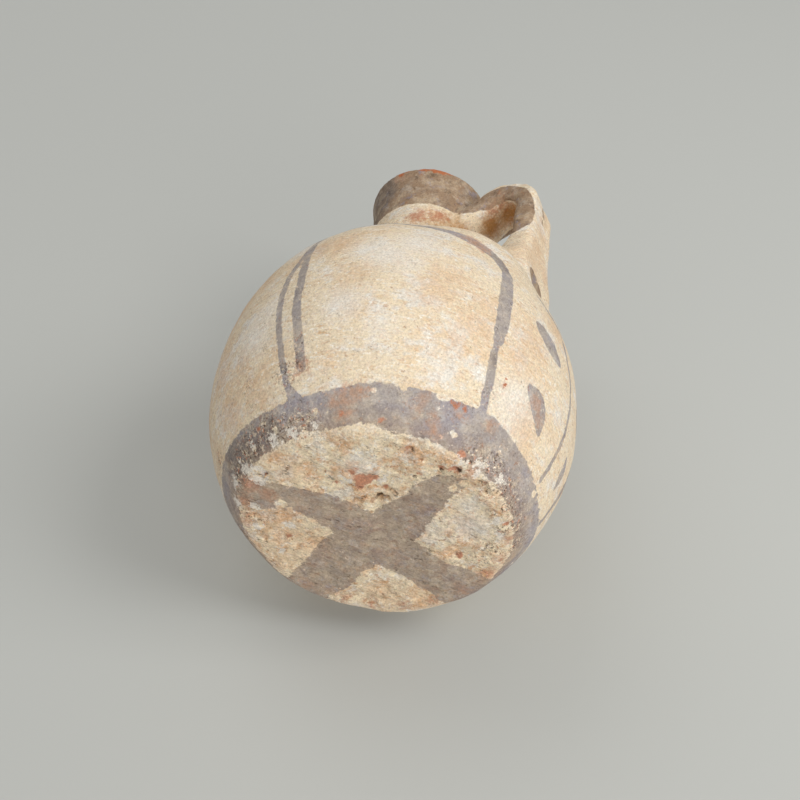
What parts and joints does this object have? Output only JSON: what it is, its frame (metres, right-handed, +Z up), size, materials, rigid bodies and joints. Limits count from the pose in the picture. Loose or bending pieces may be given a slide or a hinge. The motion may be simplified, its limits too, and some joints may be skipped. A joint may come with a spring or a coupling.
{
  "type": "one-handled terracotta jug",
  "caption": "Small hand-built terracotta jug with a flat base, round body, narrow flaring neck and a strap handle from neck to shoulder, cream slip with grey-brown painted bands.",
  "frame": {"origin": "centre of the flat underside of the base, where the jug stands", "axes": "+Z up along the vessel's axis from base to mouth, +X towards the handle, XZ is the plane of symmetry"},
  "size_m": [0.086, 0.086, 0.1138],
  "materials": {
    "slipped_terracotta": "matte",
    "painted_terracotta": "matte"
  },
  "bodies": {
    "root": {"base_disc": "slipped_terracotta", "lower_body": "slipped_terracotta", "upper_body": "slipped_terracotta", "neck": "slipped_terracotta", "lip": "painted_terracotta", "strap_handle": "slipped_terracotta", "upper_luting_wad": "slipped_terracotta", "lower_luting_wad": "slipped_terracotta"}
  },
  "joints": []
}
